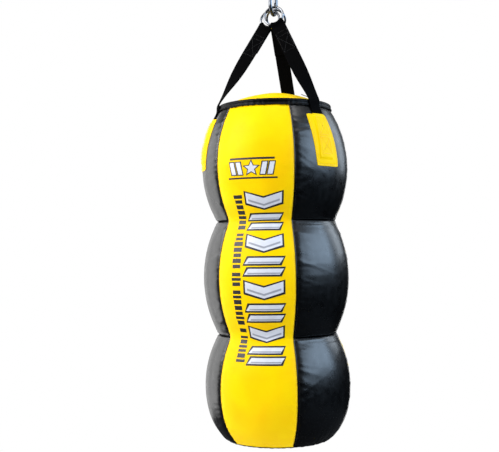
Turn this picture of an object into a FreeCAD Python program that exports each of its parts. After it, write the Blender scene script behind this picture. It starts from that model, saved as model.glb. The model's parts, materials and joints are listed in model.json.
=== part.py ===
"""A hanging uppercut bag: three stuffed lobes in a sewn shell of yellow and black vinyl panels.

Three webbing straps gather in three steel rings on a swivel snap hook. Millimetres, +Z up. The origin is
the inside top of the swivel eye, where the bag hangs, and the front yellow panel faces -Y.
"""
import FreeCAD, Part

import math
import os

import Sketcher
from FreeCAD import Placement, Rotation, Vector

doc = FreeCAD.newDocument("uppercut_bag")
sheet = doc.addObject("Spreadsheet::Sheet", "dims")

DRIVING = {
    # swivel snap hook
    "eye_bore_radius": 10.0,
    "eye_wire_radius": 4.5,
    "shank_radius": 4.5,
    "shank_play": 0.08,
    "collar_radius": 11.0,
    "collar_height": 15.0,
    "collar_bottom": -48.0,
    "shank_head_radius": 7.5,
    "shank_head_height": 4.0,
    "rod_radius": 5.0,
    "hook_half_width": 24.0,
    "shoulder_level": -42.0,
    "shoulder_radius": 14.0,
    "bight_centre": -94.0,
    "nose_level": -90.0,
    "tongue_thickness": 4.0,
    "gate_pivot_level": -63.0,
    "gate_radius": 5.6,
    "gate_top": -58.6,
    "gate_bottom": -89.0,
    "gate_slot": 4.6,
    "pin_radius": 1.5,
    "pin_play": 0.08,
    # rings and straps
    "ring_mean_radius": 25.5,
    "ring_wire_radius": 3.0,
    "ring_pitch": 12.0,
    "ring_play": 1.4,
    "ring_lean_share": 0.6,
    "strap_width": 38.0,
    "strap_thickness": 2.6,
    "strap_overlap": 143.0,
    "eye_half_angle": 40.0,
    "eye_play": 0.4,
    "eye_tail": 60.0,
    # stuffed body
    "rim_radius": 144.0,
    "rim_level": -373.0,
    "lobe_radius": 192.5,
    "waist_radius": 155.0,
    "lobe_pitch": 297.5,
    "base_radius": 140.0,
    "heel_radius": 150.0,
    "heel_drop": 797.0,
    "skin": 1.6,
    "foam": 20.0,
    "liner": 1.2,
    "layer_gap": 0.2,
    "front_angle": 66.0,
    "black_angle": 72.0,
    "dome_height": 42.0,
    "rim_piping_radius": 5.0,
    "patch_width": 70.0,
    "patch_drop": 32.0,
    "patch_height": 137.0,
    "patch_thickness": 5.4,
    "pad_thickness": 14.0,
    # zip across the top
    "zip_half_length": 112.0,
    "zip_gap": 7.0,
    "tape_width": 13.0,
    "tape_thickness": 0.9,
    "teeth_width": 5.6,
    "teeth_thickness": 2.2,
}
for row, (alias, value) in enumerate(DRIVING.items(), start=1):
    sheet.set(f"A{row}", alias)
    sheet.set(f"B{row}", str(value))
    sheet.setAlias(f"B{row}", alias)
doc.recompute()


def dim(alias):
    return float(sheet.get(alias))


def bound(obj, **expressions):
    """Binds each property of obj to an expression over the sheet's cells."""
    for prop, expression in expressions.items():
        obj.setExpression(prop, expression)
    return obj


def primitive(kind, name, placement=Placement(), **expressions):
    obj = doc.addObject(kind, name)
    obj.Placement = placement
    return bound(obj, **expressions)


def at(x, y, z, rotation=Rotation()):
    return Placement(Vector(x, y, z), rotation)


def combined(kind, name, first, *others):
    """A boolean of doc objects; Part::Cut takes one tool and Part::MultiFuse takes them all."""
    obj = doc.addObject(kind, name)
    if kind == "Part::MultiFuse":
        obj.Shapes = [first, *others]
    else:
        obj.Base, obj.Tool = first, others[0]
    return obj


nodes = []


def node(obj, label):
    """Keeps obj as a sub-part; its Label names its file."""
    obj.Label = label
    nodes.append(obj)
    return obj


def origin_plane(body, role):
    return next(f for f in body.Origin.OriginFeatures if f.Role == role)


def sketch_in(body, name, role):
    sk = body.newObject("Sketcher::SketchObject", name)
    sk.AttachmentSupport = [(origin_plane(body, role), "")]
    sk.MapMode = "FlatFace"
    return sk


ACROSS_X = Rotation(Vector(0, 1, 0), 90)
TURNED_TO_Y = Rotation(Vector(1, 0, 0), 90)


def azimuth(degrees):
    """Unit vectors outwards and sideways at an azimuth, counted from -Y towards +X."""
    a = math.radians(degrees)
    return Vector(math.sin(a), -math.cos(a), 0), Vector(math.cos(a), math.sin(a), 0)


# ---------------------------------------------------------------- swivel snap hook


def swivel_eye():
    ring = primitive(
        "Part::Torus",
        "eye_ring",
        at(0, 0, -dim("eye_bore_radius"), TURNED_TO_Y),
        Radius1="dims.eye_bore_radius + dims.eye_wire_radius",
        Radius2="dims.eye_wire_radius",
    )
    shank = primitive("Part::Cylinder", "eye_shank", Radius="dims.shank_radius")
    bound(
        shank,
        Height="-dims.collar_bottom - 2 * dims.eye_bore_radius - dims.eye_wire_radius + 1",
    )
    shank.setExpression("Placement.Base.z", "dims.collar_bottom - 1")
    head = primitive(
        "Part::Cylinder",
        "eye_head",
        Radius="dims.shank_head_radius",
        Height="dims.shank_head_height",
    )
    head.setExpression("Placement.Base.z", "dims.collar_bottom - dims.shank_head_height - 0.3")
    return node(combined("Part::MultiFuse", "swivel_eye", ring, shank, head), "swivel_eye")


def hook_path(body):
    """The rod's centre line in the YZ plane, from the gate's ear round the bight to the nose."""
    w, r = dim("hook_half_width"), dim("shoulder_radius")
    top, low, nose = dim("shoulder_level"), dim("bight_centre"), dim("nose_level")
    slant = r * math.sqrt(0.5)
    line = sketch_in(body, "hook_line", "YZ_Plane")
    turns = [(w, 1), (-w, -1)]
    shoulders = [
        Part.Arc(
            Vector(y, top - r, 0),
            Vector(y - sign * (r - slant), top - r + slant, 0),
            Vector(y - sign * r, top, 0),
        )
        for y, sign in turns
    ]
    line.addGeometry(
        [
            shoulders[0],
            Part.LineSegment(Vector(w - r, top, 0), Vector(r - w, top, 0)),
            shoulders[1],
            Part.LineSegment(Vector(-w, top - r, 0), Vector(-w, low, 0)),
            Part.Arc(Vector(-w, low, 0), Vector(0, low - w, 0), Vector(w, low, 0)),
            Part.LineSegment(Vector(w, low, 0), Vector(w, nose, 0)),
        ],
        False,
    )
    return line


def snap_hook():
    """The rod, its collar and the flat tongue that the gate closes on."""
    body = doc.addObject("PartDesign::Body", "hook_rod")
    path = hook_path(body)
    section = sketch_in(body, "rod_section", "XY_Plane")
    section.addGeometry(
        Part.Circle(Vector(0, dim("hook_half_width"), 0), Vector(0, 0, 1), dim("rod_radius")), False
    )
    radius = section.addConstraint(Sketcher.Constraint("Radius", 0, dim("rod_radius")))
    section.setExpression(f"Constraints[{radius}]", "dims.rod_radius")
    section.AttachmentOffset = at(0, 0, dim("shoulder_level") - dim("shoulder_radius"))
    doc.recompute()
    pipe = body.newObject("PartDesign::AdditivePipe", "rod")
    pipe.Profile = section
    pipe.Spine = path
    doc.recompute()
    collar = primitive(
        "Part::Cylinder", "collar", Radius="dims.collar_radius", Height="dims.collar_height"
    )
    collar.setExpression("Placement.Base.z", "dims.collar_bottom")
    ear = primitive("Part::Box", "ear", Length="dims.tongue_thickness")
    ear.Width, ear.Height = 9, 12.5
    ear.Placement = at(-2, dim("hook_half_width") - 4.5, dim("gate_pivot_level") - 4.5)
    tongue = primitive("Part::Box", "tongue", Length="dims.tongue_thickness")
    tongue.Width, tongue.Height = 5, 7.5
    tongue.Placement = at(-2, dim("hook_half_width") - 2.5, dim("nose_level") - 1)
    solid = combined("Part::MultiFuse", "hook_solid", body, collar, ear, tongue)
    bore = primitive("Part::Cylinder", "collar_bore", Radius="dims.shank_radius + dims.shank_play")
    bore.Height = 40
    bore.setExpression("Placement.Base.z", "dims.collar_bottom - 12")
    pin_hole = primitive(
        "Part::Cylinder",
        "ear_hole",
        at(-10, dim("hook_half_width"), dim("gate_pivot_level"), ACROSS_X),
        Radius="dims.pin_radius + dims.pin_play",
    )
    pin_hole.Height = 20
    tools = combined("Part::MultiFuse", "hook_tools", bore, pin_hole)
    return node(combined("Part::Cut", "snap_hook_body", solid, tools), "snap_hook_body")


def snap_gate():
    w = dim("hook_half_width")
    barrel = primitive(
        "Part::Cylinder", "barrel", Radius="dims.gate_radius", Height="dims.gate_top - dims.gate_bottom"
    )
    barrel.Placement = at(0, w, 0)
    barrel.setExpression("Placement.Base.z", "dims.gate_bottom")
    slot = dim("gate_slot") / 2
    pivot = dim("gate_pivot_level")
    ear_slot = primitive("Part::Box", "ear_slot", Length="dims.gate_slot")
    ear_slot.Width, ear_slot.Height = 20, 20
    ear_slot.Placement = at(-slot, w - 10, pivot - 6.2)
    nose_slot = primitive("Part::Box", "nose_slot", Length="dims.gate_slot")
    nose_slot.Width, nose_slot.Height = 20, 8
    nose_slot.Placement = at(-slot, w - 10, dim("gate_bottom") - 1)
    spring_bore = primitive("Part::Cylinder", "spring_bore", at(0, w, pivot - 20.2))
    spring_bore.Radius, spring_bore.Height = 2.7, 15
    hole = primitive("Part::Cylinder", "gate_pin_hole", at(-10, w, pivot, ACROSS_X))
    bound(hole, Radius="dims.pin_radius")
    hole.Height = 20
    tools = combined("Part::MultiFuse", "gate_tools", ear_slot, nose_slot, spring_bore, hole)
    return node(combined("Part::Cut", "snap_hook_gate", barrel, tools), "snap_hook_gate")


def gate_pin():
    pin = primitive(
        "Part::Cylinder",
        "gate_pin",
        at(-dim("gate_radius") + 0.4, dim("hook_half_width"), dim("gate_pivot_level"), ACROSS_X),
        Radius="dims.pin_radius",
        Height="2 * dims.gate_radius - 0.8",
    )
    return node(pin, "gate_pin")


def gate_spring():
    """A compression spring in the gate's blind bore, pressing up on the ear."""
    coil = doc.addObject("Part::Helix", "spring_line")
    coil.Pitch, coil.Height, coil.Radius = 2.0, 12.0, 2.0
    wire = doc.addObject("Part::Circle", "spring_wire")
    wire.Radius = 0.4
    wire.Placement = at(2.0, 0, 0, Rotation(Vector(1, 0, 0), 90))
    swept = doc.addObject("Part::Sweep", "gate_spring")
    swept.Sections, swept.Spine = [wire], (coil, ["Edge1"])
    swept.Solid, swept.Frenet = True, True
    swept.Placement = at(0, dim("hook_half_width"), dim("gate_pivot_level") - 19.5)
    return node(swept, "gate_spring")


# ---------------------------------------------------------------- rings and straps

STRAPS = {"left": -60.0, "right": 60.0, "back": 180.0}
RING_STATION = {"right": -1, "left": 0, "back": 1}


def panel_radius(level):
    """Outer radius of the shell at a level of the top lobe."""
    top, pitch = dim("rim_level"), dim("lobe_pitch")
    return lobe_curve(top, dim("rim_radius"), top - pitch, dim("waist_radius"))(level)


def panel_face(out, z):
    """Unit vector straight out of the shell at a level of the top lobe."""
    slope = (panel_radius(z + 1) - panel_radius(z - 1)) / 2
    return Vector(out.x, out.y, -slope).normalize()


def lobe_centre(z_top, r_top, z_low, r_low):
    """Centre and radius of the arc through both ends that reaches out to the lobe radius."""
    reach = dim("lobe_radius")
    lo, hi = z_low, z_top
    for _ in range(60):
        mid = (lo + hi) / 2
        r_a = ((z_top - mid) ** 2 + (reach - r_top) ** 2) / (2 * (reach - r_top))
        r_b = ((z_low - mid) ** 2 + (reach - r_low) ** 2) / (2 * (reach - r_low))
        lo, hi = (mid, hi) if r_a > r_b else (lo, mid)
    return reach - r_a, mid, r_a


def lobe_curve(z_top, r_top, z_low, r_low):
    r_c, z_c, radius = lobe_centre(z_top, r_top, z_low, r_low)
    return lambda z: r_c + math.sqrt(max(radius**2 - (z - z_c) ** 2, 0.0))


def ring_contact(side):
    """Centre of the ring's wire where it bears on the inside of the hook's bight."""
    y = RING_STATION[side] * dim("ring_pitch")
    reach = dim("hook_half_width") - dim("rod_radius") - dim("ring_wire_radius") - dim("ring_play")
    return Vector(0, y, dim("bight_centre") - math.sqrt(reach**2 - y**2))


def strap_foot(side):
    """Where the strap crosses the rim, just outside the piping."""
    out, _ = azimuth(STRAPS[side])
    clear = dim("rim_piping_radius") + dim("strap_thickness") / 2 + 1.6
    return out * (dim("rim_radius") + clear) + Vector(0, 0, dim("rim_level") + 4)


def ring_frame(side):
    """Ring centre, the strap's pull in the ring's plane, and the wire's direction under the strap.

    The ring hangs part of the way between straight down and the strap's own slope, and the strap
    leaves it along the pull.
    """
    contact = ring_contact(side)
    pull = (strap_foot(side) - contact).normalize()
    normal = Vector(1, 0, 0).cross(pull).normalize()
    down = normal.cross(Vector(1, 0, 0)).normalize()
    lean = math.atan2(pull.x, pull.dot(down)) * dim("ring_lean_share")
    hang = Vector(1, 0, 0) * math.sin(lean) + down * math.cos(lean)
    along = pull.cross(normal).normalize()
    return contact + hang * dim("ring_mean_radius"), pull, along


def frame_rotation(x_axis, y_axis, z_axis):
    m = FreeCAD.Matrix()
    for i, axis in enumerate((x_axis, y_axis, z_axis), start=1):
        setattr(m, f"A1{i}", axis.x)
        setattr(m, f"A2{i}", axis.y)
        setattr(m, f"A3{i}", axis.z)
    return Rotation(m)


def ring(side):
    centre, pull, along = ring_frame(side)
    torus = primitive(
        "Part::Torus",
        f"ring_{side}",
        Placement(centre, frame_rotation(along, pull, along.cross(pull))),
        Radius1="dims.ring_mean_radius",
        Radius2="dims.ring_wire_radius",
    )
    return node(torus, f"ring_{side}")


def strap_eye(side):
    """The strap's loop round the ring: a sleeve along the wire and a doubled tail below it."""
    centre, pull, along = ring_frame(side)
    half = dim("eye_half_angle")
    sleeve_at = Placement(centre, frame_rotation(along, pull, along.cross(pull)))
    from_pull = Rotation(Vector(0, 0, 1), 90 - half)
    sleeve = primitive(
        "Part::Torus",
        f"eye_sleeve_{side}",
        sleeve_at * Placement(Vector(), from_pull),
        Radius1="dims.ring_mean_radius",
        Radius2="dims.ring_wire_radius + dims.eye_play + dims.strap_thickness",
        Angle3="2 * dims.eye_half_angle",
    )
    tunnel = primitive(
        "Part::Torus",
        f"eye_tunnel_{side}",
        sleeve_at,
        Radius1="dims.ring_mean_radius",
        Radius2="dims.ring_wire_radius + dims.eye_play",
    )
    tail = primitive(
        "Part::Box",
        f"eye_tail_{side}",
        Length="dims.strap_width - 8",
        Width="dims.eye_tail",
        Height="2 * dims.strap_thickness",
    )
    tail.Placement = sleeve_at * at(
        4 - dim("strap_width") / 2, dim("ring_mean_radius"), -dim("strap_thickness")
    )
    solid = combined("Part::MultiFuse", f"eye_solid_{side}", sleeve, tail)
    return combined("Part::Cut", f"eye_{side}", solid, tunnel)


def strap_section(centre, across, through, thickness):
    w, t = across * (dim("strap_width") / 2), through * (thickness / 2)
    corners = [centre - w - t, centre + w - t, centre + w + t, centre - w + t]
    return Part.makePolygon([*corners, corners[0]])


def strap(side):
    """One strap: its sewn eye, and the webbing that turns on its way down to the panel."""
    centre, pull, along = ring_frame(side)
    out, sideways = azimuth(STRAPS[side])
    if sideways.dot(along) < 0:
        sideways = sideways * -1
    thick = dim("strap_thickness")
    start = centre + pull * (dim("ring_mean_radius") + 12)
    foot = strap_foot(side)
    sections = []
    steps = 6
    for i in range(steps + 1):
        share = i / steps
        across = (along * (1 - share) + sideways * share).normalize()
        run = (foot - start).normalize()
        across = (across - run * across.dot(run)).normalize()
        sections.append(strap_section(start + (foot - start) * share, across, run.cross(across), thick))
    rows = 8
    gap = dim("layer_gap") + thick / 2
    top = dim("rim_level") - dim("patch_drop") + 2
    low = dim("rim_level") - dim("strap_overlap")
    for i in range(rows):
        z = top + (low - top) * i / (rows - 1)
        face = panel_face(out, z)
        centre_line = out * panel_radius(z) + Vector(0, 0, z) + face * gap
        sections.append(strap_section(centre_line, sideways, face, thick))
    solid = Part.makeLoft(sections, True, True)
    if solid.Volume < 0:
        solid.reverse()
    run = doc.addObject("Part::Feature", f"strap_run_{side}")
    run.Shape = solid
    return node(combined("Part::MultiFuse", f"strap_{side}", run, strap_eye(side)), f"strap_{side}")


# ---------------------------------------------------------------- stuffed body

TIERS = ("upper", "middle", "lower")


def tier_arcs(tier, inset):
    """The tier's outline as (start, middle, end) points of arcs, moved inwards by inset."""
    top, pitch, waist = dim("rim_level"), dim("lobe_pitch"), dim("waist_radius")
    if tier == "lower":
        return lower_arcs(top - 2 * pitch, waist, inset)
    z_top = top if tier == "upper" else top - pitch
    r_top = dim("rim_radius") if tier == "upper" else waist
    z_low, mid = z_top - pitch, z_top - pitch / 2
    curve = lobe_curve(z_top, r_top, z_low, waist)
    return [[(r_top - inset, z_top), (curve(mid) - inset, mid), (waist - inset, z_low)]]


def lower_arcs(z_top, r_top, inset):
    """The lowest lobe: a side arc, then the heel's arc that turns under to the base."""
    reach, heel = dim("lobe_radius"), dim("heel_radius")
    widest = z_top - dim("lobe_pitch") * 0.46
    heel_z = dim("rim_level") - dim("heel_drop")
    radius = ((z_top - widest) ** 2 + (reach - r_top) ** 2) / (2 * (reach - r_top))

    def side(z):
        return reach - radius + math.sqrt(radius**2 - (z - widest) ** 2)

    lean = math.asin((widest - heel_z) / radius)
    c_r, c_z = side(heel_z) - heel * math.cos(lean), heel_z + heel * math.sin(lean)
    under = math.acos((dim("base_radius") - c_r) / heel)
    inner = heel - inset

    def on_heel(angle):
        return c_r + inner * math.cos(angle), c_z - inner * math.sin(angle)

    mid = (z_top + heel_z) / 2
    return [
        [(r_top - inset, z_top), (side(mid) - inset, mid), on_heel(lean)],
        [on_heel(lean), on_heel((lean + under) / 2), on_heel(under)],
    ]


def arcs_through(points):
    return [Part.Arc(*(Vector(r, z, 0) for r, z in three)) for three in points]


def revolved_body(name, outer, inner, degrees, azimuth_middle):
    """Revolves the band between two outlines about Z by an angle's expression, or all the way.

    inner is None for a solid core.
    """
    body = doc.addObject("PartDesign::Body", name)
    sk = sketch_in(body, f"{name}_outline", "XZ_Plane")
    first, last = outer[0][0], outer[-1][-1]
    shapes = arcs_through(outer)
    if inner is None:
        corners = [last, (0.0, last[1]), (0.0, first[1]), first]
    else:
        shapes += arcs_through(inner)
        corners = None
    if corners:
        for a, b in zip(corners, corners[1:]):
            shapes.append(Part.LineSegment(Vector(*a, 0), Vector(*b, 0)))
    else:
        for a, b in ((last, inner[-1][-1]), (inner[0][0], first)):
            shapes.append(Part.LineSegment(Vector(*a, 0), Vector(*b, 0)))
    sk.addGeometry(shapes, False)
    doc.recompute()
    turn = body.newObject("PartDesign::Revolution", f"{name}_turn")
    turn.Profile = sk
    turn.ReferenceAxis = (sk, ["V_Axis"])
    turn.Midplane = degrees is not None
    bound(turn, Angle=degrees or "360")
    body.Placement = Placement(Vector(), Rotation(Vector(0, 0, 1), azimuth_middle - 90))
    return body


def columns():
    """(name, middle azimuth, angle expression) of the yellow columns, then of the black ones."""
    front, black = dim("front_angle"), dim("black_angle")
    rear = (360 - front - 3 * black) / 2
    beside = (front + black) / 2
    behind = front / 2 + black + rear / 2
    rear_angle = "(360 - dims.front_angle - 3 * dims.black_angle) / 2"
    yellow = [
        ("front", 0.0, "dims.front_angle"),
        ("right", behind, rear_angle),
        ("left", -behind, rear_angle),
    ]
    black = [
        ("right", beside, "dims.black_angle"),
        ("back", 180.0, "dims.black_angle"),
        ("left", -beside, "dims.black_angle"),
    ]
    return yellow, black


def all_arcs(inset):
    return [arc for tier in TIERS for arc in tier_arcs(tier, inset)]


def shell_panels():
    """Three full-height yellow panels, and three black columns sewn from one panel per lobe."""
    skin = dim("skin")
    yellow, black = columns()
    for name, middle, angle in yellow:
        label = f"yellow_panel_{name}"
        node(revolved_body(label, all_arcs(0), all_arcs(skin), angle, middle), label)
    for name, middle, angle in black:
        for tier in TIERS:
            label = f"black_panel_{name}_{tier}"
            band = tier_arcs(tier, 0), tier_arcs(tier, skin)
            node(revolved_body(label, *band, angle, middle), label)


def stuffing():
    """Foam round each lobe, a canvas liner inside it, and a packed textile core in each lobe."""
    gap = dim("layer_gap")
    outside = dim("skin") + gap
    inside = outside + dim("foam")
    for tier in TIERS:
        label = f"foam_{tier}"
        node(revolved_body(label, tier_arcs(tier, outside), tier_arcs(tier, inside), None, 0), label)
    liner = inside + gap
    label = "canvas_liner"
    band = all_arcs(liner), all_arcs(liner + dim("liner"))
    node(revolved_body(label, *band, None, 0), label)
    for tier in TIERS:
        label = f"textile_fill_{tier}"
        core = tier_arcs(tier, liner + dim("liner") + gap)
        node(revolved_body(label, core, None, None, 0), label)


def dome_radius():
    rise = dim("dome_height")
    return (dim("rim_radius") ** 2 + rise**2) / (2 * rise)


def dome_centre():
    return dim("rim_level") + dim("dome_height") - dome_radius()


def dome_shell(name, outer_shift, thickness, reach):
    """A shell that follows the domed top, between two spheres, out to a reach from the axis."""
    radius = dome_radius() + outer_shift
    outer = doc.addObject("Part::Sphere", f"{name}_outer")
    outer.Radius = radius
    outer.Placement = at(0, 0, dome_centre())
    inner = doc.addObject("Part::Sphere", f"{name}_inner")
    inner.Radius = radius - thickness
    inner.Placement = at(0, 0, dome_centre())
    shell = combined("Part::Cut", f"{name}_shell", outer, inner)
    post = doc.addObject("Part::Cylinder", f"{name}_post")
    post.Radius, post.Height = reach, 300
    post.Placement = at(0, 0, dim("rim_level") - 20)
    piece = doc.addObject("Part::Common", name)
    piece.Base, piece.Tool = shell, post
    return piece


def strip(name, x_half, y_from, y_to):
    box = doc.addObject("Part::Box", name)
    box.Length, box.Width, box.Height = 2 * x_half, y_to - y_from, 400
    box.Placement = at(-x_half, y_from, dim("rim_level") - 100)
    return box


def domed_strip(name, shift, thickness, x_half, y_from, y_to, label):
    """One long piece of the top, cut out of a dome shell by a box seen from above."""
    shell = dome_shell(f"{name}_sheet", shift, thickness, dim("rim_radius") - 4)
    piece = doc.addObject("Part::Common", name)
    piece.Base, piece.Tool = shell, strip(f"{name}_cut", x_half, y_from, y_to)
    return node(piece, label)


def top_cover():
    """Two half discs of vinyl that meet at the zip, and the foam pad under them."""
    half_gap = dim("zip_gap") / 2
    length = dim("zip_half_length")
    for name, sign in (("front", -1), ("back", 1)):
        shell = dome_shell(f"cap_{name}", 0, dim("skin"), dim("rim_radius") - 4)
        half = strip(f"cap_{name}_half", 200, min(0, sign * 200), max(0, sign * 200))
        piece = doc.addObject("Part::Common", f"cap_{name}_disc")
        piece.Base, piece.Tool = shell, half
        mouth = strip(f"cap_{name}_mouth", length + 4, -half_gap, half_gap)
        node(combined("Part::Cut", f"top_cap_{name}", piece, mouth), f"top_cap_{name}")
        edge = sorted((sign * 2.9, sign * (2.9 + dim("tape_width"))))
        tape = (-dim("skin") - 0.2, dim("tape_thickness"), length + 8, *edge)
        domed_strip(f"zip_tape_{name}", *tape, f"zip_tape_{name}")
    ball = primitive("Part::Sphere", "pad_ball", at(0, 0, dome_centre()))
    ball.Radius = dome_radius() - 6
    block = primitive("Part::Cylinder", "pad_block", at(0, 0, dim("rim_level") + 0.5))
    bound(block, Radius="dims.rim_radius - 30", Height="dims.dome_height")
    pad = doc.addObject("Part::Common", "top_pad")
    pad.Base, pad.Tool = ball, block
    node(pad, "top_foam_pad")


def zip_row(name, sign):
    """Moulded teeth along one edge of the opening, as one row of separate solids."""
    teeth = []
    radius = dome_radius() - dim("skin") - dim("teeth_thickness") / 2
    pitch = 4.0
    count = int(2 * dim("zip_half_length") / pitch)
    for i in range(count):
        x = -dim("zip_half_length") + (i + 0.25 + 0.5 * (sign > 0)) * pitch
        angle = math.asin(x / radius)
        tooth = Part.makeBox(1.7, dim("teeth_width") / 2 + 0.4, dim("teeth_thickness"))
        y = -0.4 if sign > 0 else -dim("teeth_width") / 2
        tooth.Placement = at(0, 0, dome_centre(), Rotation(Vector(0, 1, 0), math.degrees(angle))) * at(
            -0.85, y, radius - dim("teeth_thickness") / 2
        )
        teeth.append(tooth)
    row = doc.addObject("Part::Feature", f"zip_teeth_{name}")
    row.Shape = Part.makeCompound(teeth)
    return node(row, f"zip_teeth_{name}")


def zip_runner():
    """The slider at the closed end of the zip, and its pull tab, which lies back along the zip."""
    radius = dome_radius()
    angle = math.degrees(math.asin((dim("zip_half_length") - 8) / radius))
    seat = at(0, 0, dome_centre(), Rotation(Vector(0, 1, 0), angle)) * at(0, 0, radius)
    plate = doc.addObject("Part::Box", "slider_plate")
    plate.Length, plate.Width, plate.Height = 13, 9, 1.6
    plate.Placement = seat * at(-6.5, -4.5, 0.3)
    posts = []
    for x in (-4.5, 2.7):
        post = doc.addObject("Part::Box", "slider_post")
        post.Length, post.Width, post.Height = 1.8, 2.4, 4.6
        post.Placement = seat * at(x, -1.2, 1.9)
        posts.append(post)
    bridge = doc.addObject("Part::Box", "slider_bridge")
    bridge.Length, bridge.Width, bridge.Height = 9, 2.4, 1.4
    bridge.Placement = seat * at(-4.5, -1.2, 5.4)
    node(combined("Part::MultiFuse", "zip_slider", plate, *posts, bridge), "zip_slider")
    tab = doc.addObject("Part::Box", "tab_blank")
    tab.Length, tab.Width, tab.Height = 34, 9, 1.6
    tab.Placement = seat * at(-31.8, -4.5, 2.9)
    eye = doc.addObject("Part::Box", "tab_eye")
    eye.Length, eye.Width, eye.Height = 7, 4, 6
    eye.Placement = seat * at(-6.8, -2, 1.5)
    hang = doc.addObject("Part::Box", "tab_hole")
    hang.Length, hang.Width, hang.Height = 5, 4, 6
    hang.Placement = seat * at(-29, -2, 1.5)
    holes = combined("Part::MultiFuse", "tab_holes", eye, hang)
    node(combined("Part::Cut", "zip_pull_tab", tab, holes), "zip_pull_tab")


def rim_piping():
    """The rolled black edge over the top seam."""
    roll = primitive(
        "Part::Torus",
        "rim_piping",
        Radius1="dims.rim_radius",
        Radius2="dims.rim_piping_radius",
    )
    roll.setExpression("Placement.Base.z", "dims.rim_level + 3.5")
    return roll


def trimmed_rim():
    """The piping, notched where the cap, the shell and the foam tuck into it."""
    roll = rim_piping()
    core = doc.addObject("Part::Cylinder", "rim_core")
    bound(core, Radius="dims.rim_radius - 2.9", Height="30")
    core.setExpression("Placement.Base.z", "dims.rim_level - 15")
    below = doc.addObject("Part::Cylinder", "rim_seat")
    bound(below, Radius="dims.rim_radius + 12", Height="30")
    below.setExpression("Placement.Base.z", "dims.rim_level - 29.9")
    tools = combined("Part::MultiFuse", "rim_tools", core, below)
    return node(combined("Part::Cut", "rim_binding", roll, tools), "rim_binding")


def base():
    """The flat black disc that closes the bottom, and the foam pad that lies on it."""
    edge = tier_arcs("lower", 0)[-1][-1]
    disc = primitive("Part::Cylinder", "disc", at(0, 0, edge[1] - 2.4))
    bound(disc, Radius="dims.base_radius - 1.4")
    disc.Height = 2.8
    node(disc, "base_disc")
    pad = primitive("Part::Cylinder", "base_pad", at(0, 0, edge[1] + 1))
    bound(pad, Radius="dims.base_radius - 20", Height="dims.pad_thickness")
    node(pad, "base_foam_pad")


def patch(side):
    """The yellow patch sewn over the strap's end, with the strap's pocket cut out of it."""
    name = f"anchor_patch_{side}"
    top = dim("rim_level") - dim("patch_drop")
    low = top - dim("patch_height")
    lift = dim("layer_gap")

    def curve(offset):
        return [[(panel_radius(z) + offset, z) for z in (top, (top + low) / 2, low)]]

    cover = curve(lift + dim("patch_thickness")), curve(lift)
    width = f"2 * asin(dims.patch_width / 2 / {panel_radius((top + low) / 2):.3f})"
    body = revolved_body(name + "_blank", *cover, width, STRAPS[side])
    out, sideways = azimuth(STRAPS[side])
    room = dim("strap_width") / 2 + 0.5
    depth = dim("strap_thickness") + 1.6
    sections = []
    cuts = 10
    for i in range(cuts):
        z = top + 6 - (dim("strap_overlap") - dim("patch_drop") + 9) * i / (cuts - 1)
        middle = out * (panel_radius(z) + depth / 2 - 0.6) + Vector(0, 0, z)
        w, t = sideways * room, out * (depth / 2 + 0.6)
        corners = [middle - w - t, middle + w - t, middle + w + t, middle - w + t]
        sections.append(Part.makePolygon([*corners, corners[0]]))
    pocket = doc.addObject("Part::Feature", f"{name}_pocket")
    pocket.Shape = Part.makeLoft(sections, True, True)
    return node(combined("Part::Cut", name, body, pocket), name)


swivel_eye()
snap_hook()
snap_gate()
gate_pin()
gate_spring()
for side in STRAPS:
    ring(side)
    strap(side)
    patch(side)
shell_panels()
stuffing()
top_cover()
zip_row("front", -1)
zip_row("back", 1)
zip_runner()
trimmed_rim()
base()
doc.recompute()

failed = [o.Name for o in doc.Objects if {"Invalid", "Error"} & set(o.State)]
if failed:
    raise SystemExit(f"these objects failed: {failed}")
os.makedirs("parts", exist_ok=True)
for obj in nodes:
    shape = obj.Shape
    if shape.isNull() or not shape.isValid() or not shape.Solids or shape.Volume <= 0:
        raise SystemExit(f"{obj.Label} is not a valid solid")
    shape.exportStep(os.path.join("parts", f"{obj.Label}.step"))
    print(f"{obj.Label}: {len(shape.Solids)} solid(s), {shape.Volume / 1000:.2f} cm3")
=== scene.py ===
"""The looks of a hanging uppercut bag: stuffed vinyl lobes, webbing straps, rings and a swivel snap hook.

Metres, +Z up, the same frame as the design: the bag hangs from the origin and its front panel faces -Y.
An azimuth counts from -Y towards +X.
"""

import json
import math
import random

import bpy
import numpy as np
from mathutils import Matrix, Vector


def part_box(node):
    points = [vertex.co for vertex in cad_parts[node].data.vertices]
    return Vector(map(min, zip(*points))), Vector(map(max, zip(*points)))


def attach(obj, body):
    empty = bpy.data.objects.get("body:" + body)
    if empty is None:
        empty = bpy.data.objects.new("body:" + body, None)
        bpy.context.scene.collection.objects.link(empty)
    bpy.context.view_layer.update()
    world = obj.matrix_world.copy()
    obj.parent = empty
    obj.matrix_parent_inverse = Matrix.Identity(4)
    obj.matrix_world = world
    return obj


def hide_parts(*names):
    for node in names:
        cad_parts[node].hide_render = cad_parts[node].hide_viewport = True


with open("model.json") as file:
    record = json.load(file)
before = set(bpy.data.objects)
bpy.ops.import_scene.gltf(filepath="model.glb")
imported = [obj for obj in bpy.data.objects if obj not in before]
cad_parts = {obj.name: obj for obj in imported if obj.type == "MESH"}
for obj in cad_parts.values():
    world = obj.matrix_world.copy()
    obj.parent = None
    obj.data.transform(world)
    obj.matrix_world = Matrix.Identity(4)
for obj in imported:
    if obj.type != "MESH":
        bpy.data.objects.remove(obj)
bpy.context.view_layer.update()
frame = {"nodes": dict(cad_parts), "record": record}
NODES = frame["nodes"]
MM = 0.001


# ------ sizes, read from the frame


def points_of(mesh):
    """The mesh's vertices as an array of x, y, z rows."""
    co = np.empty(len(mesh.vertices) * 3)
    mesh.vertices.foreach_get("co", co)
    return co.reshape(-1, 3)


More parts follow.
